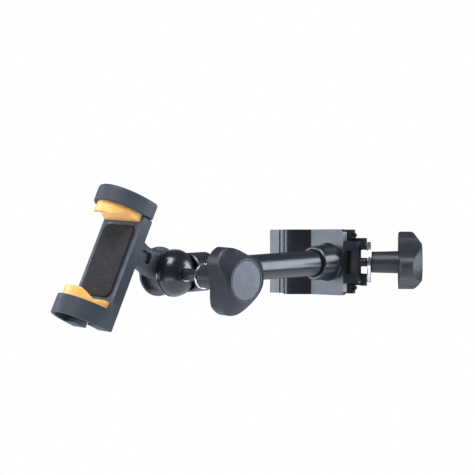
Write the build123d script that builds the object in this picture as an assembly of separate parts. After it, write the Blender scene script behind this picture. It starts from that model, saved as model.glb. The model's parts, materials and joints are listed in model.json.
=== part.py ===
from build123d import *
import math
import os

os.makedirs("parts", exist_ok=True)

# Millimetres. The origin is on the line that the clamp grips, at its mid height. Z runs up that line,
# and the arm leaves the clamp towards -Y.

# Fits
run_clear = 0.05      # radial clearance of a pin or shaft that turns
face_gap = 0.05       # gap between faces that slide on each other
seat_gap = 0.3        # gap between a moving piece and what it closes on
trim_gap = 0.1        # gap round a piece set into a recess

# Clamp, front jaw
pole_r = 10.0
clamp_h = 45.6
plate_t = 4.0
plate_y = -4.9        # outer flat face of the front jaw
plate_right = 42.8
front_liner_t = 1.0
vee_wall = 2.0
vee_round = 5.0
plate_corner = 3.0
groove_x = -16.6
groove_w = 1.2
groove_depth = 0.8

# Hinge of the rear jaw
hinge_x = -21.9
hinge_y = 5.0
hinge_pin_r = 2.0
knuckle_r = 4.5
ear_h = 9.0           # height of each front knuckle

# Rear jaw
rear_angle = 22.0
rear_liner_t = 1.5
rear_liner_wrap = 2.0  # how far the rear liner's cheeks reach round
rear_liner_w = 24.0
rear_t = 4.5
liner_h = 40.0
jaw_screw_in = 4.5     # end of the rear jaw's flat plate to its screws
jaw_screw_z = 18.6
screw_head_r = 2.4
screw_head_h = 1.6
screw_r = 1.4

# Swing bolt and its barrel
barrel_x = 42.0
barrel_y = 8.0
barrel_r = 4.85
barrel_h = 16.0
barrel_pin_r = 2.0
lug_h = 6.5
lug_pin_wall = 3.0
bolt_angle = 39.5
bolt_r = 3.0
seat_at = 9.0         # barrel's centre to the seat of the washer
slot_half = 8.4
hook_t = 4.5
hook_tip = 8.3
hook_len = 6.5
hook_round = 1.8
hook_bend = 2.2       # end of the rear jaw's flat plate to the hook's root
washer_r = 14.0
washer_t = 2.5

# Knobs
hub_len = 19.0
hub_r0 = 7.25
hub_r1 = 7.75
lobe_at = 13.0
lobe_r = 9.0
flank_dip = 0.8
flank_r = 40.0
knob_h = 16.0
knob_rim_h = 9.7
knob_edge = 1.5
disc_r = 12.0
disc_t = 1.0
nut_flat = 10.0
nut_h = 8.0
nut_depth = 2.0
bolt_in_knob = 9.0
clamp_knob_turn = -50.0
tilt_knob_turn = 8.0

# Boss and arm; the arm's own frame starts at the front jaw's face and runs along -Y
arm_x = 28.3
arm_droop = 2.0
arm_roll = 3.0
boss_r0 = 12.5
boss_r1 = 11.5
boss_len = 14.7
boss_bore_r = 9.8
boss_rim = 0.7
boss_foot = 0.9
bush_depth = 3.2      # mouth of the boss to the bush
spigot_r = 7.6
nose_r = 4.9
arm_r0 = 8.95
arm_r1 = 8.1
arm_end = 116.1       # front jaw's face to the end socket
arm_bore_r = 5.5
arm_solid = 24.0
cup_r = 12.2
cup_len = 16.3
cup_bore_r = 10.6
cup_depth = 13.5
cup_rim = 0.8
cup_back = 1.4
keeper_r = 8.5
keeper_t = 1.2
keeper_screw_r = 2.0
keeper_head_r = 3.6
keeper_head_h = 2.0
keeper_screw_len = 12.0

# Elbow head, along the tilt axis, which crosses the arm's axis
mouth_to_axis = 8.3   # mouth of the end socket to the tilt axis
dome_r = 14.9
dome_base = -2.8
dome_lip = 1.2
dome_lip_r = 0.5
dome_h = 11.1
stub_len = 11.6
stub_fit = 0.1
friction_r = 11.0
friction_t = 1.4
eye_r = 11.9
eye_w = 11.6
cap_r = 15.5
cap_t = 2.6
cap_round = 1.2
cap_pocket = 1.4
spacer_r = 3.7
tilt_washer_at = 23.4
tilt_washer_r = 7.9
tilt_washer_t = 1.5
tilt_bolt_head_r = 5.2

# Phone clip; its frame sits on the tilt axis, with the phone's side towards -Y
clip_tilt = 26.0
body_back = 39.0
body_t = 7.0
body_w = 36.0
body_round = 2.0
jaw_w = 36.0
jaw_reach = 29.3      # back of the body to the tip of the jaw
jaw_straight = 4.8
jaw_wall = 2.2
low_jaw_z = -53.1
low_jaw_h = 11.2
up_jaw_z = 18.4
up_jaw_h = 10.3
jaw_edge = 1.8
jaw_split = 0.3
jaw_travel = 35.0
liner_recess = 2.5
web_t = 2.0
lip_h = 6.5
valley_z = 1.6        # valley of a liner above its jaw's rim
valley_at = 9.0       # phone's side of the body to the valley
lip_front = 17.0
lip_back = 3.6
liner_gap = 0.1
notch_w = 12.0
notch_h = 4.0
pad_w = 28.0
pad_l = 46.0
pad_t = 1.2
pad_mid = -11.8
pad_round = 5.0
tongue_w = 12.8
tongue_t = 3.0
tongue_keep = 8.0     # length of tongue still held at full travel
tongue_clear = 0.08
tongue_root = 3.0
guide_wall = 2.0
spring_r = 1.1
spring_wire = 0.35
spring_pitch = 1.6
spring_foot = 3.0
spring_slot_w = 3.4
neck_w0 = 11.6
neck_h0 = 17.0
neck_mid = 27.0
neck_clear = 1.0      # start of the neck's flare beyond the cap's rim
neck_w1 = 13.0
neck_h1 = 16.0
flange_w = 28.0
flange_h = 34.0
flange_t = 1.6
flange_round = 8.0
flare_w = 18.5
flare_h = 24.0
neck_round = 3.5
neck_pocket_w = 9.0
neck_pocket_h = 7.0
neck_pocket_deep = 2.6
neck_screw_x = 10.5
neck_screw_z = 11.0
neck_screw_len = 9.0
neck_head_r = 2.6
neck_head_h = 1.8


axis_at = arm_end + cup_len + mouth_to_axis


def cyl_x(radius, x0, x1):
    return Pos((x0 + x1) / 2, 0, 0) * Rot(0, 90, 0) * Cylinder(radius, x1 - x0)


def cyl_y(radius, y0, y1):
    return Pos(0, (y0 + y1) / 2, 0) * Rot(90, 0, 0) * Cylinder(radius, y1 - y0)


def cyl_z(radius, z0, z1):
    return Pos(0, 0, (z0 + z1) / 2) * Cylinder(radius, z1 - z0)


def block(x0, x1, y0, y1, z0, z1):
    return Pos((x0 + x1) / 2, (y0 + y1) / 2, (z0 + z1) / 2) * Box(x1 - x0, y1 - y0, z1 - z0)


def polygon(points):
    return make_face(Polyline(*points, close=True))


def turned(points):
    """A body of revolution about Z from (radius, height) points."""
    face = Plane.XZ * polygon(points)
    return revolve(face, Axis.Z)


def at_boss(shape):
    return Pos(arm_x, plate_y, 0) * Rot(arm_droop, 0, 0) * shape


def at_arm(shape):
    return at_boss(Rot(0, arm_roll, 0) * shape)


def at_head(shape):
    return at_arm(Pos(0, -axis_at, 0) * shape)


clip_x = dome_base - friction_t - 2 * face_gap - eye_w / 2


def at_clip(shape):
    return at_head(Pos(clip_x, 0, 0) * Rot(-clip_tilt, 0, 0) * shape)


def at_bolt(shape):
    """Places a shape drawn along Z on the swing bolt's line, Z = 0 at the barrel."""
    return Pos(barrel_x, barrel_y, 0) * Rot(0, 0, bolt_angle) * Rot(0, 90, 0) * shape


def along_x(shape):
    return Rot(0, 90, 0) * shape


# Clamp

liner_r = pole_r + front_liner_t
vee_in = liner_r * math.sqrt(2)
vee_out = (liner_r + vee_wall) * math.sqrt(2)
plate_in = plate_y + plate_t
vee_foot = vee_out + plate_y
ear_z0 = clamp_h / 2 - ear_h
plate_left = hinge_x - knuckle_r


def vee_section():
    middle = (plate_left + plate_right) / 2
    plate = Pos(middle, plate_y + plate_t / 2) * Rectangle(plate_right - plate_left, plate_t)
    vee = polygon([(-vee_foot, plate_y), (vee_foot, plate_y), (0, -vee_out)])
    apex = vee.vertices().sort_by(Axis.Y)[0]
    vee = fillet(apex, vee_round)
    hollow = polygon([(-vee_in, 0), (vee_in, 0), (0, -vee_in)])
    return plate + vee - hollow


def make_front_jaw():
    jaw = Pos(0, 0, -clamp_h / 2) * extrude(vee_section(), clamp_h)
    corners = jaw.edges().filter_by(Axis.Y).group_by(Axis.X)
    jaw = fillet(corners[-1], plate_corner)
    ear = Pos(hinge_x, hinge_y, 0) * cyl_z(knuckle_r, ear_z0, clamp_h / 2)
    ear += block(plate_left, hinge_x + knuckle_r, plate_y, hinge_y, ear_z0, clamp_h / 2)
    jaw += ear + mirror(ear, Plane.XY)
    lug_r = barrel_pin_r + lug_pin_wall
    lug_z = barrel_h / 2 + face_gap
    lug_face = Pos(barrel_x, barrel_y) * Circle(lug_r)
    root = plate_right - 2 * lug_r
    lug_face += polygon([(root, plate_y), (plate_right, plate_y),
                         (barrel_x + lug_r, barrel_y), (barrel_x - lug_r, barrel_y)])
    lug = Pos(0, 0, lug_z) * extrude(lug_face, lug_h)
    jaw += lug + mirror(lug, Plane.XY)
    groove = block(-groove_w / 2, groove_w / 2, plate_y - 1, plate_y + groove_depth, -clamp_h, clamp_h)
    jaw -= Pos(groove_x, 0, 0) * groove
    boss = turned([(0, -plate_t * 0.6), (boss_r0, -plate_t * 0.6), (boss_r0, 0), (boss_r0 + boss_foot, 0),
                   (boss_r0, boss_foot * 2), (boss_r1, boss_len - boss_rim),
                   (boss_r1 - boss_rim, boss_len), (0, boss_len)])
    jaw += at_boss(Rot(90, 0, 0) * boss)
    jaw -= at_boss(cyl_y(boss_bore_r, -boss_len - 1, 0))
    jaw -= at_boss(cyl_y(nose_r + run_clear, -1, plate_t * 2))
    jaw -= Pos(hinge_x, hinge_y, 0) * cyl_z(hinge_pin_r, -clamp_h, clamp_h)
    jaw -= Pos(barrel_x, barrel_y, 0) * cyl_z(barrel_pin_r, -clamp_h, clamp_h)
    return jaw


def make_front_liner():
    face = polygon([(-vee_in, 0), (vee_in, 0), (0, -vee_in)])
    face &= Pos(0, -vee_in) * Rectangle(4 * vee_in, 2 * (vee_in - rear_liner_wrap - front_liner_t))
    face -= Circle(pole_r)
    return Pos(0, 0, -liner_h / 2) * extrude(face, liner_h)


pin_along = -hinge_x * math.cos(math.radians(rear_angle)) - hinge_y * math.sin(math.radians(rear_angle))
pin_normal = -hinge_x * math.sin(math.radians(rear_angle)) + hinge_y * math.cos(math.radians(rear_angle))
rear_in = pole_r + rear_liner_t - pin_normal


def rear_length():
    """Hinge to the end of the flat plate, set back from the root of the hook."""
    turn = math.radians(bolt_angle)
    jaw_turn = math.radians(rear_angle)
    across = hook_tip + hook_len
    x = barrel_x + (seat_at - hook_t) * math.cos(turn) - across * math.sin(turn) - hinge_x
    y = barrel_y + (seat_at - hook_t) * math.sin(turn) + across * math.cos(turn) - hinge_y
    return x * math.cos(jaw_turn) + y * math.sin(jaw_turn) - hook_bend


rear_len = rear_length()


def at_rear(shape):
    """Places a shape drawn from the hinge, X along the rear jaw and Y out of the clamp."""
    return Pos(hinge_x, hinge_y, 0) * Rot(0, 0, rear_angle) * shape


def hook_section():
    """The hook that carries the washer, drawn in the swing bolt's own axes."""
    inner = seat_at - hook_t
    root = hook_tip + hook_len
    face = polygon([(seat_at, hook_tip), (seat_at, root), (inner, root), (inner, hook_tip)])
    ends = face.vertices().sort_by(Axis.Y)[0:2]
    face = fillet(ends, hook_round)
    return Pos(barrel_x, barrel_y) * Rot(0, 0, bolt_angle) * face


def hook_root():
    """Corners that join the hook to the end of the plate."""
    turn = math.radians(bolt_angle)
    out = []
    for along in (seat_at - hook_t, seat_at):
        across = hook_tip + hook_len
        out.append((barrel_x + along * math.cos(turn) - across * math.sin(turn),
                    barrel_y + along * math.sin(turn) + across * math.cos(turn)))
    turn = math.radians(rear_angle)
    for across in (rear_in + rear_t, rear_in):
        out.append((hinge_x + rear_len * math.cos(turn) - across * math.sin(turn),
                    hinge_y + rear_len * math.sin(turn) + across * math.cos(turn)))
    return polygon(out)


def make_rear_jaw():
    plate = Pos(rear_len / 2, rear_in + rear_t / 2) * Rectangle(rear_len, rear_t)
    section = at_rear(plate) + hook_root() + hook_section()
    section += Pos(hinge_x, hinge_y) * Circle(knuckle_r)
    jaw = Pos(0, 0, -clamp_h / 2) * extrude(section, clamp_h)
    hook_zone = block(0, 2 * rear_len, -rear_len, rear_len, slot_half, 2 * slot_half)
    plate_zone = block(-2 * knuckle_r, rear_len - rear_t, -rear_len, rear_len, -clamp_h, clamp_h)
    jaw &= at_rear(plate_zone + Pos(rear_len / 2, 0, 0) * (hook_zone + mirror(hook_zone, Plane.XY)))
    ear_room = ear_z0 - face_gap
    gap = Pos(hinge_x, hinge_y, 0) * cyl_z(knuckle_r + seat_gap, ear_room, clamp_h)
    front = block(-2 * knuckle_r, knuckle_r + seat_gap, -2 * knuckle_r, seat_gap, ear_room, clamp_h)
    gap += Pos(hinge_x, hinge_y, 0) * front
    jaw -= gap + mirror(gap, Plane.XY)
    jaw -= Pos(hinge_x, hinge_y, 0) * cyl_z(hinge_pin_r + run_clear, -clamp_h, clamp_h)
    for side in (-1, 1):
        hole = cyl_y(screw_r, rear_in, rear_in + rear_t)
        jaw -= at_rear(Pos(rear_len - jaw_screw_in, 0, side * jaw_screw_z) * hole)
    return jaw


def make_rear_liner():
    inner = rear_in - rear_liner_t - rear_liner_wrap
    half = rear_liner_w / 2
    body = Pos(pin_along, 0, 0) * block(-half, half, inner, rear_in, -liner_h / 2, liner_h / 2)
    return at_rear(body) - cyl_z(pole_r, -clamp_h, clamp_h)


def make_jaw_screws():
    screw = cyl_y(screw_head_r, rear_in - screw_head_h, rear_in) + cyl_y(screw_r, rear_in, rear_in + rear_t)
    socket = Rot(90, 0, 0) * extrude(RegularPolygon(screw_head_r * 0.55, 6), 1, both=True)
    screw -= Pos(0, rear_in - screw_head_h, 0) * socket
    out = []
    for side in (-1, 1):
        out.append(at_rear(Pos(rear_len - jaw_screw_in, 0, side * jaw_screw_z) * screw))
    return Compound(out)


def make_hinge_pin():
    return Pos(hinge_x, hinge_y, 0) * cyl_z(hinge_pin_r, -clamp_h / 2, clamp_h / 2)


def make_barrel_pin():
    reach = barrel_h / 2 + face_gap + lug_h
    return Pos(barrel_x, barrel_y, 0) * cyl_z(barrel_pin_r, -reach, reach)


knob_back = seat_at + washer_t + 2 * face_gap + hub_len


def make_barrel():
    barrel = cyl_z(barrel_r, -barrel_h / 2, barrel_h / 2)
    barrel -= cyl_z(barrel_pin_r + run_clear, -barrel_h, barrel_h)
    barrel = Pos(barrel_x, barrel_y, 0) * barrel
    return barrel - at_bolt(cyl_z(bolt_r, 0, 2 * barrel_r))


def make_swing_bolt():
    start = barrel_pin_r + 4 * run_clear
    bolt = cyl_z(bolt_r, start, knob_back + bolt_in_knob)
    return at_bolt(chamfer(bolt.edges().group_by(Axis.Z)[-1], bolt_r / 5))


def make_washer(radius, thickness):
    ring = turned([(bolt_r + 3 * run_clear, 0), (radius - 0.4, 0), (radius, 0.4), (radius, thickness - 0.4),
                   (radius - 0.4, thickness), (bolt_r + 3 * run_clear, thickness)])
    return ring


def make_knob():
    """A three-lobed knob on its hub, the back of its lobes at Z = 0."""
    lobes = Sketch() + [Rot(0, 0, a) * Pos(lobe_at, 0) * Circle(lobe_r) for a in (90, 210, 330)]
    outline = make_hull(lobes.edges())
    flank = lobe_at / 2 + lobe_r - flank_dip + flank_r
    for a in (30, 150, 270):
        outline -= Rot(0, 0, a) * Pos(flank, 0) * Circle(flank_r)
    reach = lobe_at + lobe_r
    body = extrude(outline, knob_h)
    body &= turned([(0, 0), (reach - knob_edge, 0), (reach + 0.1, knob_edge),
                    (reach + 0.1, knob_rim_h - knob_edge), (reach - knob_edge, knob_rim_h + 0.6),
                    (disc_r + 0.8, knob_h), (0, knob_h)])
    body += turned([(0, -hub_len), (hub_r0 - 0.5, -hub_len), (hub_r0, 0.5 - hub_len),
                    (hub_r1, 0), (hub_r1, 1), (0, 1)])
    body -= cyl_z(disc_r, knob_h - disc_t, knob_h + 1)
    body -= cyl_z(bolt_r + 6 * run_clear, -hub_len - 1, bolt_in_knob + 1)
    nut = extrude(RegularPolygon(nut_flat / 2, 6, major_radius=False), nut_h)
    body -= Pos(0, 0, nut_depth - hub_len) * nut
    return body


def make_nut():
    nut = extrude(RegularPolygon(nut_flat / 2, 6, major_radius=False), nut_h)
    return Pos(0, 0, nut_depth - hub_len) * nut - cyl_z(bolt_r + run_clear, -hub_len, nut_h)


def make_disc():
    rim = disc_r - trim_gap
    base = knob_h - disc_t
    return turned([(0, base), (rim, base), (rim, knob_h - 0.3), (rim - 0.3, knob_h), (0, knob_h)])


# Arm

bush_front = boss_len - bush_depth


def make_bush():
    bush = cyl_y(boss_bore_r, -bush_front, 0) - cyl_y(spigot_r + run_clear, -bush_front - 1, 1)
    return at_boss(bush)


def make_arm():
    shoulder = bush_front + face_gap
    cup_end = arm_end + cup_len
    nose = -plate_t - seat_gap
    arm = turned([(0, nose), (nose_r, nose), (nose_r, face_gap), (spigot_r, face_gap), (spigot_r, shoulder),
                  (arm_r0, shoulder), (arm_r1, arm_end), (cup_r - cup_back, arm_end),
                  (cup_r, arm_end + cup_back), (cup_r, cup_end - cup_rim),
                  (cup_r - cup_rim, cup_end), (0, cup_end)])
    arm -= cyl_z(cup_bore_r, cup_end - cup_depth, cup_end + 1)
    arm -= cyl_z(arm_bore_r, arm_solid, cup_end)
    arm -= cyl_z(keeper_screw_r, -plate_t * 2, keeper_screw_len - plate_t)
    arm = Rot(90, 0, 0) * arm
    room = Pos(0, -axis_at, 0) * (dome_form(seat_gap / 2) + cyl_x(eye_r + seat_gap, -3 * cup_r, dome_base))
    return at_arm(arm - room)


def make_keeper():
    washer = cyl_y(keeper_r, plate_t + seat_gap, plate_t + seat_gap + keeper_t)
    return at_arm(washer - cyl_y(keeper_screw_r + run_clear, 0, 3 * plate_t))


def make_keeper_screw():
    under = plate_t + seat_gap + keeper_t
    top = under + keeper_head_h
    screw = cyl_y(keeper_head_r, under, top) + cyl_y(keeper_screw_r, plate_t - keeper_screw_len + 1, under)
    socket = Rot(90, 0, 0) * extrude(RegularPolygon(keeper_head_r / 2, 6), 1, both=True)
    return at_arm(screw - Pos(0, top, 0) * socket)


# Elbow head

def dome_form(grow=0.0):
    """The dome about X, with its lip at the base; grow widens it all round for clearance."""
    base = dome_base - grow
    top = dome_base + dome_lip
    radius = dome_r + grow
    lip = cyl_x(radius, base, top)
    oval = Pos(0, top) * Ellipse(radius - dome_lip_r, dome_h + grow)
    oval &= Pos(radius, top + radius) * Rectangle(2 * radius, 2 * radius)
    cap = revolve(Plane.XZ * oval, Axis.Z)
    return lip + along_x(cap)


head_top = dome_base + dome_lip + dome_h
cap_in = clip_x - eye_w / 2 - face_gap
cap_out = cap_in - cap_t


def make_elbow():
    floor = mouth_to_axis + cup_depth
    stub = cyl_y(cup_bore_r - stub_fit, floor - stub_len, floor)
    head = dome_form() + stub
    head -= cyl_x(eye_r + seat_gap, -3 * dome_r, dome_base)
    head -= cyl_x(bolt_r, -3 * dome_r, 3 * dome_r)
    head -= cyl_x(2 * dome_r, head_top - 0.6, 3 * dome_r)
    return at_head(head)


def make_pivot_bolt():
    last = tilt_back + bolt_in_knob
    bolt = cyl_x(bolt_r, cap_out + cap_pocket, last)
    bolt = chamfer(bolt.edges().group_by(Axis.X)[-1], bolt_r / 5)
    head = along_x(Pos(0, 0, cap_out + cap_pocket - 0.4) * extrude(RegularPolygon(tilt_bolt_head_r, 6), 1.6))
    return at_head(bolt + head)


tilt_back = tilt_washer_at + tilt_washer_t + face_gap + hub_len


def make_pivot_cap():
    cap = cyl_x(cap_r, cap_out, cap_in)
    cap = fillet(cap.edges().group_by(Axis.X)[0], cap_round)
    cap -= cyl_x(bolt_r, cap_out, cap_in + 1)
    cap -= along_x(Pos(0, 0, cap_out + cap_pocket - 0.4) * extrude(RegularPolygon(tilt_bolt_head_r, 6), 1.6))
    return at_head(cap)


def make_spacer():
    tube = cyl_x(spacer_r, head_top - 0.6, tilt_washer_at - face_gap) - cyl_x(bolt_r, 0, 3 * dome_r)
    return at_head(tube)


def make_friction_washer():
    ring = cyl_x(friction_r, dome_base - friction_t, dome_base) - cyl_x(bolt_r, -dome_r, dome_r)
    return at_head(ring)


# Phone clip

body_face = -body_back - body_t
jaw_tip = -body_back - jaw_reach
jaw_mid = -body_back - jaw_straight
rim_low = low_jaw_z + low_jaw_h
up_top = up_jaw_z + up_jaw_h


def jaw_plan(inset=0.0, back=-body_back):
    """Plan of a jaw: straight cheeks at the back and an oval front."""
    half = jaw_w / 2 - inset
    reach = jaw_mid - jaw_tip - inset
    oval = Pos(0, jaw_mid) * Ellipse(half, reach)
    oval &= Pos(0, jaw_mid - 2 * reach) * Rectangle(4 * half, 4 * reach)
    if back < jaw_mid:
        return oval & (Pos(0, back - 2 * reach) * Rectangle(4 * half, 4 * reach))
    return oval + Pos(0, (jaw_mid + back) / 2) * Rectangle(2 * half, back - jaw_mid)


def jaw_block(inset, z0, z1, back=-body_back):
    return Pos(0, 0, z0) * extrude(jaw_plan(inset, back), z1 - z0)


def make_clip_body():
    height = up_jaw_z - jaw_split - low_jaw_z
    back = Rectangle(body_w, height)
    back = fillet(back.vertices(), body_round)
    mid = (up_jaw_z - jaw_split + low_jaw_z) / 2
    body = Pos(0, body_face, mid) * Rot(-90, 0, 0) * extrude(back, body_t)
    body += jaw_block(0, low_jaw_z, rim_low)
    body -= jaw_block(jaw_wall, low_jaw_z - 1, rim_low - liner_recess - web_t, body_face - jaw_wall)
    body -= jaw_block(jaw_wall, rim_low - liner_recess, rim_low + 1, body_face)
    body -= block(-notch_w / 2, notch_w / 2, body_face - 2 * jaw_wall, 0, low_jaw_z - 1, low_jaw_z + notch_h)
    low = rim_low + spring_foot
    half = tongue_w / 2 + tongue_clear
    back = -body_back - guide_wall
    body -= block(-half, half, back - tongue_t - tongue_clear, back + tongue_clear, low, up_jaw_z + 1)
    for x in (-neck_screw_x, neck_screw_x):
        for z in (-neck_screw_z, neck_screw_z):
            body -= Pos(x, 0, z) * cyl_y(neck_head_r, body_face - 1, body_face + neck_head_h)
            body -= Pos(x, 0, z) * cyl_y(screw_r, body_face, 0)
    return at_clip(body)


def gutter(rim, way):
    """A jaw liner: a block of the jaw's plan with a V-shaped gutter along X; way is +1 on the lower jaw."""
    foot = rim - way * liner_recess
    crest = rim + way * lip_h
    low, high = min(foot, crest), max(foot, crest)
    solid = jaw_block(jaw_wall + liner_gap, low, high, body_face - liner_gap)
    deep = rim + way * valley_z
    over = crest + way
    back_lip = crest - way * lip_h / 3
    front = body_face - lip_front
    vee = polygon([(front, over), (front, crest), (body_face - valley_at, deep),
                   (body_face - lip_back, back_lip), (body_face + 1, back_lip), (body_face + 1, over)])
    vee = Plane.YZ * vee
    return at_clip(solid - extrude(vee, jaw_w, both=True))


def make_upper_jaw():
    jaw = jaw_block(0, up_jaw_z, up_top)
    jaw = fillet(jaw.edges().group_by(Axis.Z)[-1], jaw_edge)
    jaw -= jaw_block(jaw_wall, up_jaw_z - 1, up_jaw_z + liner_recess, body_face)
    slot = block(-tongue_w / 2, tongue_w / 2, -body_back - guide_wall - tongue_t, -body_back - guide_wall,
                 up_jaw_z - 1, up_jaw_z + tongue_root)
    return at_clip(jaw - slot)


def make_tongue():
    low = up_jaw_z - jaw_split - jaw_travel - tongue_keep
    tongue = block(-tongue_w / 2, tongue_w / 2, -body_back - guide_wall - tongue_t, -body_back - guide_wall,
                   low, up_jaw_z + tongue_root)
    tongue -= block(-spring_slot_w / 2, spring_slot_w / 2, -2 * body_back, 0, low - 1, up_jaw_z - tongue_keep)
    return at_clip(tongue)


def make_spring():
    """The return spring at rest, its coils drawn as the ribs of one sleeve."""
    low = rim_low + spring_foot
    high = up_jaw_z - tongue_keep
    turns = int((high - low) / spring_pitch)
    step = (high - low) / turns
    outer = spring_r + spring_wire
    inner = spring_r - spring_wire
    rim = [(inner, low)]
    for k in range(turns):
        rim += [(spring_r, low + k * step), (outer, low + (k + 0.5) * step)]
    rim += [(spring_r, high), (inner, high)]
    return at_clip(Pos(0, -body_back - guide_wall - tongue_t / 2, 0) * turned(rim))


def make_foam_pad():
    face = fillet(Rectangle(pad_w, pad_l).vertices(), pad_round)
    pad = Pos(0, body_face - pad_t, pad_mid) * Rot(-90, 0, 0) * extrude(face, pad_t)
    front = pad.edges().group_by(Axis.Y)[0]
    return at_clip(fillet(front, pad_t / 2))


def rounded(width, height, radius, y):
    return Pos(0, y, 0) * Rot(90, 0, 0) * fillet(Rectangle(width, height).vertices(), radius)


def make_neck():
    start = cap_r + neck_clear
    trumpet = loft([rounded(neck_w0, neck_h0, neck_round, -start),
                    rounded(neck_w1, neck_h1, neck_round, -neck_mid),
                    rounded(flare_w, flare_h, 1.5 * neck_round, -body_back + 3 * flange_t),
                    rounded(flange_w, flange_h, flange_round, -body_back + flange_t)])
    neck = trumpet + extrude(rounded(flange_w, flange_h, flange_round, -body_back), -flange_t)
    neck += extrude(rounded(neck_w0, neck_h0, neck_round, -start), start - eye_r / 2, dir=(0, 1, 0))
    neck += cyl_x(eye_r, -eye_w / 2, eye_w / 2)
    neck -= cyl_x(bolt_r + run_clear, -eye_w, eye_w)
    pocket = fillet(Box(2 * neck_pocket_deep, neck_pocket_w, neck_pocket_h).edges().filter_by(Axis.X), 1.5)
    neck -= Pos(neck_w1 / 2, -neck_mid + neck_pocket_w / 4, 0) * pocket
    for x in (-neck_screw_x, neck_screw_x):
        for z in (-neck_screw_z, neck_screw_z):
            neck -= Pos(x, 0, z) * cyl_y(screw_r, body_face, body_face + neck_screw_len)
    return at_clip(neck)


def make_neck_screws():
    screw = cyl_y(neck_head_r, body_face, body_face + neck_head_h)
    screw += cyl_y(screw_r, body_face, body_face + neck_screw_len)
    out = []
    for x in (-neck_screw_x, neck_screw_x):
        for z in (-neck_screw_z, neck_screw_z):
            out.append(at_clip(Pos(x, 0, z) * screw))
    return Compound(out)


def at_clamp_knob(shape):
    return at_bolt(Pos(0, 0, knob_back) * Rot(0, 0, clamp_knob_turn) * shape)


def at_tilt_knob(shape):
    return at_head(along_x(Pos(0, 0, tilt_back) * Rot(0, 0, tilt_knob_turn) * shape))


knob = make_knob()
nut = make_nut()
disc = make_disc()

nodes = {
    "front_jaw": make_front_jaw(),
    "front_liner": make_front_liner(),
    "hinge_pin": make_hinge_pin(),
    "rear_jaw": make_rear_jaw(),
    "rear_liner": make_rear_liner(),
    "rear_jaw_screws": make_jaw_screws(),
    "barrel_pin": make_barrel_pin(),
    "bolt_barrel": make_barrel(),
    "swing_bolt": make_swing_bolt(),
    "clamp_washer": at_bolt(Pos(0, 0, seat_at + face_gap) * make_washer(washer_r, washer_t)),
    "clamp_knob": at_clamp_knob(knob),
    "clamp_knob_nut": at_clamp_knob(nut),
    "clamp_knob_disc": at_clamp_knob(disc),
    "arm_bush": make_bush(),
    "arm": make_arm(),
    "arm_keeper": make_keeper(),
    "arm_keeper_screw": make_keeper_screw(),
    "elbow_head": make_elbow(),
    "pivot_bolt": make_pivot_bolt(),
    "pivot_cap": make_pivot_cap(),
    "pivot_spacer": make_spacer(),
    "friction_washer": make_friction_washer(),
    "tilt_washer": at_head(along_x(Pos(0, 0, tilt_washer_at) * make_washer(tilt_washer_r, tilt_washer_t))),
    "tilt_knob": at_tilt_knob(knob),
    "tilt_knob_nut": at_tilt_knob(nut),
    "tilt_knob_disc": at_tilt_knob(disc),
    "clip_neck": make_neck(),
    "neck_screws": make_neck_screws(),
    "clip_body": make_clip_body(),
    "lower_liner": gutter(rim_low, 1),
    "foam_pad": make_foam_pad(),
    "upper_jaw": make_upper_jaw(),
    "jaw_tongue": make_tongue(),
    "upper_liner": gutter(up_jaw_z, -1),
    "jaw_spring": make_spring(),
}

for name, shape in nodes.items():
    export_step(shape, "parts/" + name + ".step")
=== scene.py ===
import json
import math

import bmesh
import bpy
from mathutils import Matrix, Vector


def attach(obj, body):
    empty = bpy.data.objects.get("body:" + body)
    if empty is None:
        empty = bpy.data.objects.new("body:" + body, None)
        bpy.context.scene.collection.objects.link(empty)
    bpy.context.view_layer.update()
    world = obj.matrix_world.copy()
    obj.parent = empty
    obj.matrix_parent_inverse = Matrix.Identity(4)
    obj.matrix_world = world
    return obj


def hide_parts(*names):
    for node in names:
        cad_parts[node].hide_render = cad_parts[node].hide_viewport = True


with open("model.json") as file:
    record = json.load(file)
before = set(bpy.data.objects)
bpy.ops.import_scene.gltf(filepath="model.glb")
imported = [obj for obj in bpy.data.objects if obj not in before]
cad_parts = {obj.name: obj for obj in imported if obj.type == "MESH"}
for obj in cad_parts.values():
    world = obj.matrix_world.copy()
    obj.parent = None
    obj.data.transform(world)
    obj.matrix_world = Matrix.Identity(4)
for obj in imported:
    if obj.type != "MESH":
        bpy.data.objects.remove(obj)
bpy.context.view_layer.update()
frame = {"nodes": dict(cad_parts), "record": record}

print("frame loaded, nodes:", len(frame["nodes"]))

scene = bpy.context.scene
bodyOf = {}
for bodyName, nodeNames in frame["record"]["behaviour"]["bodies"].items():
    for nodeName in nodeNames:
        bodyOf[nodeName] = bodyName

cameraSettings = {
    "focal": 95.1, "sensor": 36.0,  # mm
    "distance": 0.896, "left": 0.0457, "height": 0.0171,  # m
    "azimuth": 45.0,
    "near": 0.01, "far": 20.0,
}


def makeCamera(c):
    data = bpy.data.cameras.new("studioCamera")
    data.lens = c["focal"]
    data.sensor_width = c["sensor"]
    data.clip_start = c["near"]
    data.clip_end = c["far"]
    camera = bpy.data.objects.new("studioCamera", data)
    scene.collection.objects.link(camera)
    turn = math.radians(c["azimuth"])
    side = Vector((math.cos(turn), math.sin(turn), 0))
    back = Vector((math.sin(turn), -math.cos(turn), 0))
    camera.location = -c["left"] * side + c["distance"] * back + Vector((0, 0, c["height"]))
    camera.rotation_euler = (math.radians(90), 0, turn)  # level, looking at the holder
    scene.camera = camera


makeCamera(cameraSettings)
print("camera placed")


# Material building blocks, all on Object coordinates
def newMaterial(name):
    material = bpy.data.materials.new(name)
    material.use_nodes = True
    nodes = material.node_tree.nodes
    nodes.clear()
    output = nodes.new("ShaderNodeOutputMaterial")
    shader = nodes.new("ShaderNodeBsdfPrincipled")
    material.node_tree.links.new(shader.outputs[0], output.inputs[0])
    coords = nodes.new("ShaderNodeTexCoord")
    return material, nodes, material.node_tree.links, shader, coords.outputs["Object"]


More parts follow.
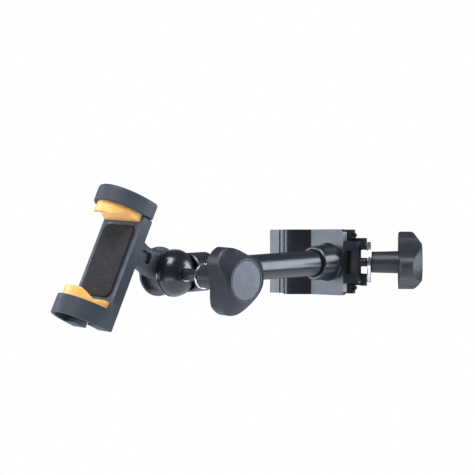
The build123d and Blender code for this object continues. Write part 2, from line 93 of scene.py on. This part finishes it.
def addNoise(nodes, links, coords, scale, detail=3.0):
    noise = nodes.new("ShaderNodeTexNoise")
    noise.inputs["Scale"].default_value = scale
    noise.inputs["Detail"].default_value = detail
    links.new(coords, noise.inputs["Vector"])
    return noise.outputs["Fac"]


# The defaults of fromLow and fromHigh are about where a noise ends
def addRange(nodes, links, value, low, high, fromLow=0.3, fromHigh=0.7):
    node = nodes.new("ShaderNodeMapRange")
    node.inputs["From Min"].default_value = fromLow
    node.inputs["From Max"].default_value = fromHigh
    node.inputs["To Min"].default_value = low
    node.inputs["To Max"].default_value = high
    links.new(value, node.inputs["Value"])
    return node.outputs["Result"]


def addMix(nodes, links, fac, colorA, colorB):
    mix = nodes.new("ShaderNodeMix")
    mix.data_type = "RGBA"
    links.new(fac, mix.inputs[0])
    for socket, color in ((mix.inputs[6], colorA), (mix.inputs[7], colorB)):
        if hasattr(color, "is_output"):
            links.new(color, socket)
        else:
            socket.default_value = (*color, 1)
    return mix.outputs[2]


def addBump(nodes, links, shader, height, strength, distance):
    bump = nodes.new("ShaderNodeBump")
    bump.inputs["Strength"].default_value = strength
    bump.inputs["Distance"].default_value = distance
    links.new(height, bump.inputs["Height"])
    links.new(bump.outputs[0], shader.inputs["Normal"])


# Where the painted edge highlight begins and is full on the bend, its patch size and its usual strength
edgeHighlightSettings = {"begins": 0.53, "full": 0.6, "patchScale": 300, "amount": 0.5}


# Painted edge highlights: a paler colour where the surface bends sharply, in patches
def addEdgeHighlight(nodes, links, coords, amount):
    geometry = nodes.new("ShaderNodeNewGeometry")
    bend = addRange(nodes, links, geometry.outputs["Pointiness"], 0.0, 1.0,
                    edgeHighlightSettings["begins"], edgeHighlightSettings["full"])
    patches = addRange(nodes, links, addNoise(nodes, links, coords, edgeHighlightSettings["patchScale"]), 0.0, amount)
    highlightMask = nodes.new("ShaderNodeMath")
    highlightMask.operation = "MULTIPLY"
    links.new(bend, highlightMask.inputs[0])
    links.new(patches, highlightMask.inputs[1])
    return highlightMask.outputs[0]


# A finish: a tone and a roughness that drift, paler edges painted on as highlights if it has them, and a
# fine grain
def makeFinish(name, f):
    material, nodes, links, shader, coords = newMaterial(name)
    drift = addNoise(nodes, links, coords, f.get("driftScale", 60), 4.0)
    tone = addMix(nodes, links, addRange(nodes, links, drift, 0.0, 1.0), f["dark"], f["light"])
    # The edge colour is a painted highlight laid on the sharp bends
    if "edge" in f:
        highlightMask = addEdgeHighlight(nodes, links, coords, f.get("edgeHighlightAmount", edgeHighlightSettings["amount"]))
        tone = addMix(nodes, links, highlightMask, tone, f["edge"])
    links.new(tone, shader.inputs["Base Color"])
    rough = addNoise(nodes, links, coords, f.get("roughScale", 180))
    links.new(addRange(nodes, links, rough, f["roughLow"], f["roughHigh"]), shader.inputs["Roughness"])
    grain = addNoise(nodes, links, coords, f["grainScale"], f.get("grainDetail", 2.0))
    addBump(nodes, links, shader, grain, f["grainStrength"], f["grainDepth"])
    shader.inputs["Metallic"].default_value = f.get("metallic", 0.0)
    shader.inputs["Coat Weight"].default_value = f.get("coat", 0.0)
    shader.inputs["Coat Roughness"].default_value = f.get("coatRough", 0.1)
    if "glow" in f:  # light that soaks into the rubber
        shader.inputs["Subsurface Weight"].default_value = f["glow"]
        shader.inputs["Subsurface Radius"].default_value = f["glowRadius"]
        shader.inputs["Subsurface Scale"].default_value = f["glowDepth"]
    return material


# Each edge colour below is a painted highlight on sharp bends
finishes = {
    "castBlack": {
        "dark": (0.007, 0.008, 0.011), "light": (0.012, 0.014, 0.019), "edge": (0.1, 0.11, 0.14),
        "roughLow": 0.28, "roughHigh": 0.34, "coat": 0.25, "coatRough": 0.22,
        "grainScale": 900, "grainStrength": 0.12, "grainDepth": 0.0003},
    "armBlack": {
        "dark": (0.008, 0.009, 0.013), "light": (0.013, 0.015, 0.021), "edge": (0.09, 0.1, 0.125),
        "roughLow": 0.33, "roughHigh": 0.38, "coat": 0.3, "coatRough": 0.18,
        "grainScale": 800, "grainStrength": 0.1, "grainDepth": 0.0003},
    "glossBlack": {
        "dark": (0.006, 0.007, 0.011), "light": (0.009, 0.011, 0.016),
        "roughLow": 0.24, "roughHigh": 0.3, "coat": 0.5, "coatRough": 0.22,
        "grainScale": 500, "grainStrength": 0.05, "grainDepth": 0.0002},
    "capBlack": {
        "dark": (0.014, 0.0155, 0.018), "light": (0.022, 0.024, 0.028),
        "roughLow": 0.34, "roughHigh": 0.44,
        "grainScale": 2500, "grainStrength": 0.15, "grainDepth": 0.0002},
    "knobBlack": {
        "dark": (0.014, 0.017, 0.023), "light": (0.022, 0.026, 0.034), "edge": (0.085, 0.095, 0.12),
        "roughLow": 0.36, "roughHigh": 0.46,
        "grainScale": 3200, "grainStrength": 0.3, "grainDepth": 0.00025, "grainDetail": 1.0},
    "discBlack": {
        "dark": (0.05, 0.057, 0.072), "light": (0.062, 0.07, 0.088),
        "roughLow": 0.36, "roughHigh": 0.44,
        "grainScale": 2600, "grainStrength": 0.12, "grainDepth": 0.0002},
    "clipBlack": {
        "dark": (0.028, 0.034, 0.046), "light": (0.044, 0.053, 0.069), "edge": (0.13, 0.15, 0.19),
        "roughLow": 0.5, "roughHigh": 0.62,
        "grainScale": 2800, "grainStrength": 0.25, "grainDepth": 0.00022, "grainDetail": 1.0},
    "amberRubber": {
        "dark": (0.93, 0.44, 0.1), "light": (0.96, 0.56, 0.19), "driftScale": 90,
        "edge": (1.0, 0.84, 0.5), "edgeHighlightAmount": 1.0,
        "roughLow": 0.3, "roughHigh": 0.42,
        "grainScale": 1200, "grainStrength": 0.1, "grainDepth": 0.0003,
        "glow": 0.25, "glowRadius": (0.6, 0.3, 0.1), "glowDepth": 0.004},
    "padFoam": {
        "dark": (0.009, 0.0085, 0.009), "light": (0.024, 0.022, 0.023), "driftScale": 700,
        "roughLow": 0.88, "roughHigh": 1.0,
        "grainScale": 1800, "grainStrength": 0.6, "grainDepth": 0.0006, "grainDetail": 5.0},
    "blackRubber": {
        "dark": (0.012, 0.012, 0.013), "light": (0.022, 0.022, 0.024),
        "roughLow": 0.6, "roughHigh": 0.75,
        "grainScale": 1500, "grainStrength": 0.25, "grainDepth": 0.0003},
    "bushNylon": {
        "dark": (0.014, 0.014, 0.015), "light": (0.022, 0.022, 0.024),
        "roughLow": 0.5, "roughHigh": 0.6,
        "grainScale": 1500, "grainStrength": 0.1, "grainDepth": 0.0002},
    "brightSteel": {
        "dark": (0.62, 0.62, 0.63), "light": (0.8, 0.8, 0.81), "driftScale": 120,
        "roughLow": 0.16, "roughHigh": 0.28, "roughScale": 500, "metallic": 1.0,
        "grainScale": 700, "grainStrength": 0.08, "grainDepth": 0.0002},
    "plainSteel": {
        "dark": (0.45, 0.45, 0.46), "light": (0.6, 0.6, 0.61),
        "roughLow": 0.25, "roughHigh": 0.4, "metallic": 1.0,
        "grainScale": 900, "grainStrength": 0.12, "grainDepth": 0.0002},
    "darkSteel": {
        "dark": (0.05, 0.05, 0.055), "light": (0.09, 0.09, 0.095),
        "roughLow": 0.3, "roughHigh": 0.45, "metallic": 0.8,
        "grainScale": 900, "grainStrength": 0.12, "grainDepth": 0.0002},
}
materials = {name: makeFinish(name, values) for name, values in finishes.items()}

threadSettings = {
    # The valley colour is painted shade in the thread's grooves; the crest is the steel's own tone
    "valley": (0.03, 0.03, 0.033), "crest": (0.3, 0.3, 0.32),
    "bands": 314.0, "depth": 0.0006,
    "turns": {"clampThread": -39.5, "pivotThread": 0},  # each bolt's line, in degrees from X
    "roughLow": 0.22, "roughHigh": 0.36, "roughScale": 400,
}


# A bolt's thread: bands across the bolt's own line, the dark valleys painted on as shade in the grooves
def makeThreadSteel(name, t):
    material, nodes, links, shader, coords = newMaterial(name)
    mapping = nodes.new("ShaderNodeMapping")
    mapping.inputs["Rotation"].default_value = (0, 0, math.radians(t["turns"][name]))
    links.new(coords, mapping.inputs["Vector"])
    wave = nodes.new("ShaderNodeTexWave")
    wave.wave_type = "BANDS"
    wave.bands_direction = "X"
    wave.inputs["Scale"].default_value = t["bands"]
    links.new(mapping.outputs[0], wave.inputs["Vector"])
    tone = addMix(nodes, links, wave.outputs["Fac"], t["valley"], t["crest"])
    links.new(tone, shader.inputs["Base Color"])
    rough = addNoise(nodes, links, coords, t["roughScale"])
    links.new(addRange(nodes, links, rough, t["roughLow"], t["roughHigh"]), shader.inputs["Roughness"])
    shader.inputs["Metallic"].default_value = 1.0
    addBump(nodes, links, shader, wave.outputs["Fac"], 1.0, t["depth"])
    return material


for name in threadSettings["turns"]:
    materials[name] = makeThreadSteel(name, threadSettings)
print("materials made:", len(materials))

finishOf = {
    "front_jaw": "castBlack", "front_liner": "blackRubber", "hinge_pin": "plainSteel",
    "rear_jaw": "castBlack", "rear_liner": "blackRubber", "rear_jaw_screws": "darkSteel",
    "barrel_pin": "plainSteel", "bolt_barrel": "darkSteel", "swing_bolt": "clampThread",
    "clamp_washer": "brightSteel", "clamp_knob": "knobBlack", "clamp_knob_nut": "plainSteel",
    "clamp_knob_disc": "discBlack", "arm_bush": "bushNylon", "arm": "armBlack",
    "arm_keeper": "plainSteel", "arm_keeper_screw": "darkSteel", "elbow_head": "glossBlack",
    "pivot_bolt": "pivotThread", "pivot_cap": "capBlack", "pivot_spacer": "capBlack",
    "friction_washer": "bushNylon", "tilt_washer": "brightSteel", "tilt_knob": "knobBlack",
    "tilt_knob_nut": "plainSteel", "tilt_knob_disc": "discBlack", "clip_neck": "clipBlack",
    "neck_screws": "darkSteel", "clip_body": "clipBlack", "lower_liner": "amberRubber",
    "foam_pad": "padFoam", "upper_jaw": "clipBlack", "jaw_tongue": "plainSteel",
    "upper_liner": "amberRubber", "jaw_spring": "plainSteel",
}
for nodeName, node in frame["nodes"].items():
    for slot in node.material_slots:
        slot.material = materials[finishOf[nodeName]]

skinSettings = {"merge": 2e-6, "flatAngle": 0.6, "roundAngle": 32, "flatWeight": 100}


# A rigid node's dressed copy: one joined skin, its true edges rounded as a cast or moulded piece's are
def dressNode(nodeName, d):
    node = frame["nodes"][nodeName]
    mesh = bpy.data.meshes.new(d["name"])
    piece = bpy.data.objects.new(d["name"], mesh)
    scene.collection.objects.link(piece)
    bm = bmesh.new()
    bm.from_mesh(node.data)
    bmesh.ops.remove_doubles(bm, verts=bm.verts, dist=skinSettings["merge"])
    bmesh.ops.dissolve_degenerate(bm, edges=bm.edges, dist=skinSettings["merge"])
    bmesh.ops.dissolve_limit(bm, angle_limit=math.radians(skinSettings["flatAngle"]),
                             verts=bm.verts, edges=bm.edges, delimit={"NORMAL"})
    for face in bm.faces:
        face.smooth = True
    bm.to_mesh(mesh)
    bm.free()
    mesh.materials.append(materials[finishOf[nodeName]])
    bevel = piece.modifiers.new("roundEdges", "BEVEL")
    bevel.width = d["round"]
    bevel.segments = d.get("segments", 2)
    bevel.limit_method = "ANGLE"
    bevel.angle_limit = math.radians(skinSettings["roundAngle"])
    bevel.profile = 0.5
    bevel.harden_normals = True
    bevel.miter_outer = "MITER_ARC"
    shading = piece.modifiers.new("evenShading", "WEIGHTED_NORMAL")  # keeps the flat faces flat
    shading.mode = "FACE_AREA"
    shading.weight = skinSettings["flatWeight"]
    shading.keep_sharp = True
    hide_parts(nodeName)
    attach(piece, bodyOf[nodeName])


dressSettings = {
    "front_jaw": {"name": "frontJaw", "round": 0.0005},
    "rear_jaw": {"name": "rearJaw", "round": 0.0005},
    "front_liner": {"name": "frontLiner", "round": 0.0003},
    "rear_liner": {"name": "rearLiner", "round": 0.0004},
    "rear_jaw_screws": {"name": "rearJawScrews", "round": 0.00015},
    "bolt_barrel": {"name": "boltBarrel", "round": 0.0003},
    "clamp_knob": {"name": "clampKnob", "round": 0.0008, "segments": 3},
    "tilt_knob": {"name": "tiltKnob", "round": 0.0008, "segments": 3},
    "clamp_knob_disc": {"name": "clampKnobDisc", "round": 0.0001},
    "tilt_knob_disc": {"name": "tiltKnobDisc", "round": 0.0001},
    "arm": {"name": "armTube", "round": 0.0003},
    "elbow_head": {"name": "elbowDome", "round": 0.0002},
    "pivot_cap": {"name": "pivotCap", "round": 0.0002},
    "clip_neck": {"name": "clipNeck", "round": 0.0005},
    "clip_body": {"name": "clipBody", "round": 0.0007, "segments": 3},
    "upper_jaw": {"name": "upperJaw", "round": 0.0007, "segments": 3},
    "lower_liner": {"name": "lowerLiner", "round": 0.0009, "segments": 4},
    "upper_liner": {"name": "upperLiner", "round": 0.0009, "segments": 4},
}
for nodeName, values in dressSettings.items():
    dressNode(nodeName, values)
print("dressed pieces:", len(dressSettings))

# The clip's own axes: origin on the tilt axis, the phone's side towards -Y
clipSettings = {"pivot": (0.0283, -0.145514, -0.00491), "droop": 2.0, "roll": 3.0, "tilt": 26.0,
                "across": -0.0101}
headTurn = (Matrix.Rotation(math.radians(clipSettings["droop"]), 4, "X")
            @ Matrix.Rotation(math.radians(clipSettings["roll"]), 4, "Y"))
clipPlace = (Matrix.Translation(clipSettings["pivot"]) @ headTurn
             @ Matrix.Translation((clipSettings["across"], 0, 0))
             @ Matrix.Rotation(math.radians(-clipSettings["tilt"]), 4, "X"))

padSettings = {
    "width": 0.028, "length": 0.046, "thick": 0.0013,
    "back": -0.046, "middle": -0.0118,  # its back and its middle on the clip's own axes
    "corner": 0.005, "cornerSteps": 8, "edge": 0.0006, "edgeSteps": 3,
    "crown": 0.0004, "crownPower": 0.4, "stripsAcross": 14, "stripsAlong": 22,
    "sharpAngle": 50, "fill": 0.5,
}


def cutInStrips(bm, normal, half, count):
    for step in range(1, count):
        place = normal * (half * (2 * step / count - 1))
        geometry = bm.verts[:] + bm.edges[:] + bm.faces[:]
        bmesh.ops.bisect_plane(bm, geom=geometry, plane_co=place, plane_no=normal)


def makeFoamPad(p):
    bm = bmesh.new()
    bmesh.ops.create_cube(bm, size=1.0)
    bmesh.ops.scale(bm, vec=(p["width"], p["thick"], p["length"]), verts=bm.verts)
    corners = [e for e in bm.edges if abs(e.verts[0].co.y - e.verts[1].co.y) > p["thick"] / 2]
    bmesh.ops.bevel(bm, geom=corners, offset=p["corner"], segments=p["cornerSteps"], profile=0.5,
                    affect="EDGES", material=-1)
    front = [f for f in bm.faces if f.normal.y < -0.9]
    rim = list({e for f in front for e in f.edges})
    bmesh.ops.bevel(bm, geom=rim, offset=p["edge"], segments=p["edgeSteps"], profile=0.5,
                    affect="EDGES", material=-1)
    halfWidth, halfLength = p["width"] / 2, p["length"] / 2
    cutInStrips(bm, Vector((1, 0, 0)), halfWidth, p["stripsAcross"])
    cutInStrips(bm, Vector((0, 0, 1)), halfLength, p["stripsAlong"])
    for vert in bm.verts:  # the front swells towards its middle
        if vert.co.y < -0.3 * p["thick"]:
            across = max(1 - (vert.co.x / halfWidth) ** 2, 0)
            along = max(1 - (vert.co.z / halfLength) ** 2, 0)
            vert.co.y -= p["crown"] * (across * along) ** p["crownPower"]
    bmesh.ops.translate(bm, vec=(0, p["back"] - p["thick"] / 2, p["middle"]), verts=bm.verts)
    bmesh.ops.transform(bm, matrix=clipPlace, verts=bm.verts)
    bmesh.ops.recalc_face_normals(bm, faces=bm.faces)
    for face in bm.faces:
        face.smooth = True
    mesh = bpy.data.meshes.new("foamPad")
    bm.to_mesh(mesh)
    bm.free()
    mesh.set_sharp_from_angle(angle=math.radians(p["sharpAngle"]))
    mesh.materials.append(materials["padFoam"])
    pad = bpy.data.objects.new("foamPad", mesh)
    scene.collection.objects.link(pad)
    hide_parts("foam_pad")
    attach(pad, "clip")


makeFoamPad(padSettings)
print("pad made")

stageMiddle = (0.02, -0.08, 0.0)  # about the holder's middle: the floor lies under it, the lamps aim at it
floorSettings = {"radius": 0.55, "height": -0.3, "rim": 96, "rough": 0.9, "driftScale": 3,
                 "light": (0.86, 0.86, 0.87), "dark": (0.8342, 0.8342, 0.8439)}


def makeFloor(f):
    bm = bmesh.new()
    bmesh.ops.create_circle(bm, cap_ends=True, segments=f["rim"], radius=f["radius"])
    bmesh.ops.translate(bm, vec=(stageMiddle[0], stageMiddle[1], f["height"]), verts=bm.verts)
    mesh = bpy.data.meshes.new("studioFloor")
    bm.to_mesh(mesh)
    bm.free()
    floor = bpy.data.objects.new("studioFloor", mesh)
    scene.collection.objects.link(floor)
    material, nodes, links, shader, coords = newMaterial("floorPale")
    drift = addNoise(nodes, links, coords, f["driftScale"])
    links.new(addMix(nodes, links, drift, f["light"], f["dark"]), shader.inputs["Base Color"])
    shader.inputs["Roughness"].default_value = f["rough"]
    mesh.materials.append(material)


makeFloor(floorSettings)
print("floor made")

# What the world gives as soft light, what glossy surfaces reflect of it, and what the camera sees
worldSettings = {"light": (0.4, 0.42, 0.46), "shine": (0.12, 0.13, 0.16), "seen": (1.0, 1.0, 1.0)}


def makeWorld(w):
    world = bpy.data.worlds.new("studioWorld")
    scene.world = world
    world.use_nodes = True
    nodes, links = world.node_tree.nodes, world.node_tree.links
    nodes.clear()
    output = nodes.new("ShaderNodeOutputWorld")
    path = nodes.new("ShaderNodeLightPath")
    shine = addMix(nodes, links, path.outputs["Is Glossy Ray"], w["light"], w["shine"])
    seen = addMix(nodes, links, path.outputs["Is Camera Ray"], shine, w["seen"])
    background = nodes.new("ShaderNodeBackground")
    links.new(seen, background.inputs["Color"])
    links.new(background.outputs[0], output.inputs[0])


makeWorld(worldSettings)
print("world set")

lampSettings = [
    {"name": "faceLamp", "at": (-0.75, -0.72, 0.12), "size": (0.55, 0.9), "power": 9.5,
     "color": (0.76, 0.86, 1.0)},
    {"name": "sideLamp", "at": (0.75, 0.68, 0.15), "size": (0.4, 0.9), "power": 11.0,
     "color": (0.8, 0.88, 1.0)},
    {"name": "keyLamp", "at": (0.25, -0.6, 0.85), "size": (0.7, 0.5), "power": 12.0,
     "color": (0.93, 0.96, 1.0)},
    {"name": "lowLamp", "at": (0.5, -0.7, -0.5), "size": (0.8, 0.25), "power": 3.0,
     "color": (0.93, 0.96, 1.0)},
]


def makeLamp(s):
    light = bpy.data.lights.new(s["name"], "AREA")
    light.shape = "RECTANGLE"
    light.size, light.size_y = s["size"]
    light.energy = s["power"]
    light.color = s["color"]
    lamp = bpy.data.objects.new(s["name"], light)
    scene.collection.objects.link(lamp)
    lamp.location = s["at"]
    aim = Vector(stageMiddle) - lamp.location
    lamp.rotation_euler = aim.to_track_quat("-Z", "Y").to_euler()


for values in lampSettings:
    makeLamp(values)

scene.view_settings.view_transform = "Standard"
print("lamps set:", len(lampSettings))
